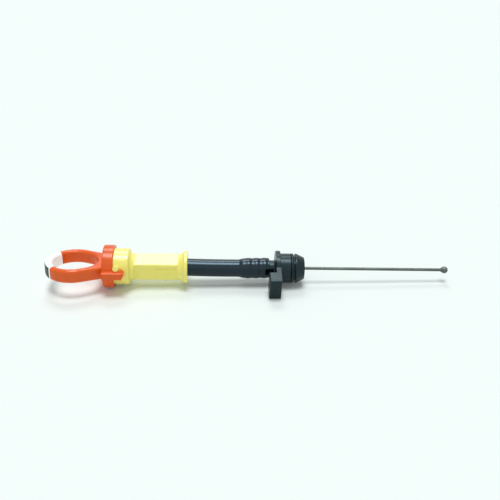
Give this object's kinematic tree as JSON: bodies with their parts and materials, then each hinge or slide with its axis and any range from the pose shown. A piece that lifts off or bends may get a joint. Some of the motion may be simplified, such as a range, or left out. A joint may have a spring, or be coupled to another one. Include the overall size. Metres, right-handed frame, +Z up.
{
  "type": "engine oil dipstick",
  "caption": "Oil dipstick locked in its guide tube: orange finger ring, yellow tube head, rubber hose, bolt-on engine plug and steel gauge wire with a ball tip.",
  "frame": {"origin": "centre of the bottom of the bounding box, on the surface that the part lies on", "axes": "+X along the tube from the finger ring to the ball tip (1.4 degrees nose down, as it lies), -Y to the side of the bolt lug, +Z up"},
  "size_m": [0.2998, 0.047, 0.0317],
  "materials": {
    "orange_plastic": "moulded, satin with soft highlights",
    "white_plastic": "moulded, smooth",
    "dark_pad": "fine grained",
    "seal_rubber": "smooth, slightly oily",
    "plated_steel": "plated, turned",
    "wire_steel": "drawn wire, dull grey",
    "yellow_plastic": "moulded, satin",
    "hose_rubber": "extruded, glossy",
    "black_plastic": "glass-filled, satin"
  },
  "bodies": {
    "guide_tube": {"tube_head": "yellow_plastic", "hose": "hose_rubber", "engine_plug": "black_plastic", "plug_seal": "seal_rubber", "lug_bush": "plated_steel"},
    "dipstick": {"pull_handle": "orange_plastic", "ring_end_cap": "white_plastic", "ring_end_pad": "dark_pad", "stem_seal": "seal_rubber", "wire_ferrule": "plated_steel", "gauge_wire": "wire_steel", "gauge_tip": "wire_steel"}
  },
  "joints": [
    {"name": "lock_twist", "type": "hinge", "parent": "guide_tube", "child": "dipstick", "pos_m": [-0.0965, 0.00309, 0.01573], "axis": [0.9997, 0, -0.0238], "range_deg": [0, 134]}
  ]
}
